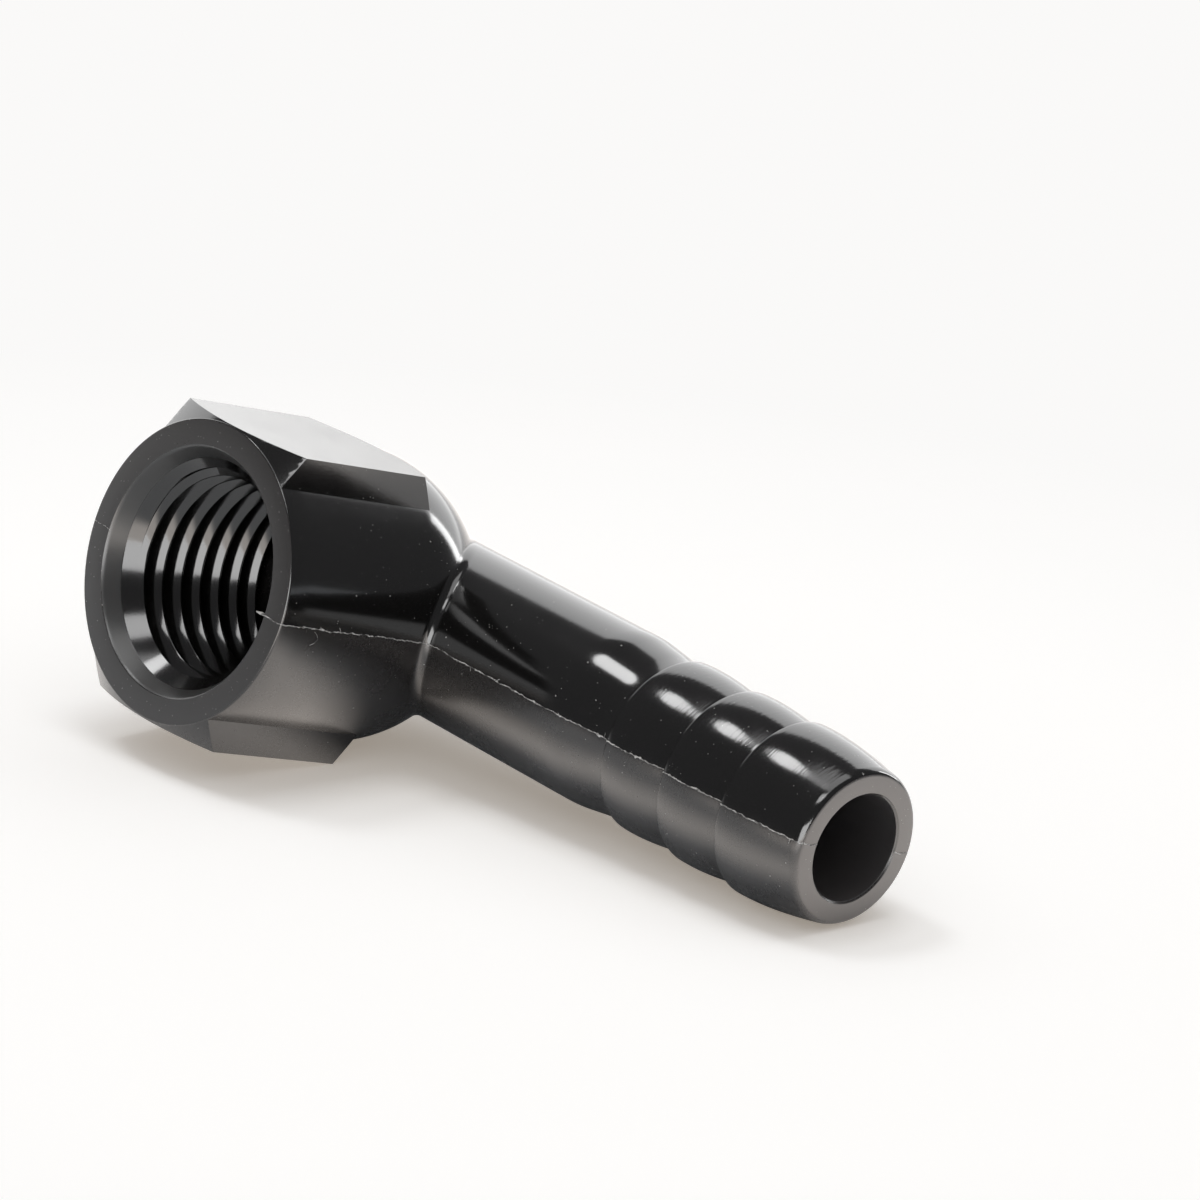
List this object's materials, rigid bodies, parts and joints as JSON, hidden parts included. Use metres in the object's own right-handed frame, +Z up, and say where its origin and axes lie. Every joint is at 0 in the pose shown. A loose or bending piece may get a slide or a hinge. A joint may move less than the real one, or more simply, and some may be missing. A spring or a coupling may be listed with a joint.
{
  "type": "hose shank",
  "caption": "Black moulded 90 degree hose fitting with a 1/4-18 female pipe thread, two wrench flats and a barbed shank for 3/8 inch hose",
  "frame": {"origin": "On the table under the middle of the fitting's bounding box", "axes": "+Z is up from the table the fitting lies on. +X follows the hose shank in plan, which slopes down to the table by about 4 degrees. The threaded mouth faces -Y and about 13 degrees up."},
  "size_m": [0.0478, 0.0232, 0.0199],
  "materials": {
    "moulded_black": "glossy, as moulded, with fine grain"
  },
  "bodies": {
    "root": {"hose_shank": "moulded_black"}
  },
  "joints": []
}
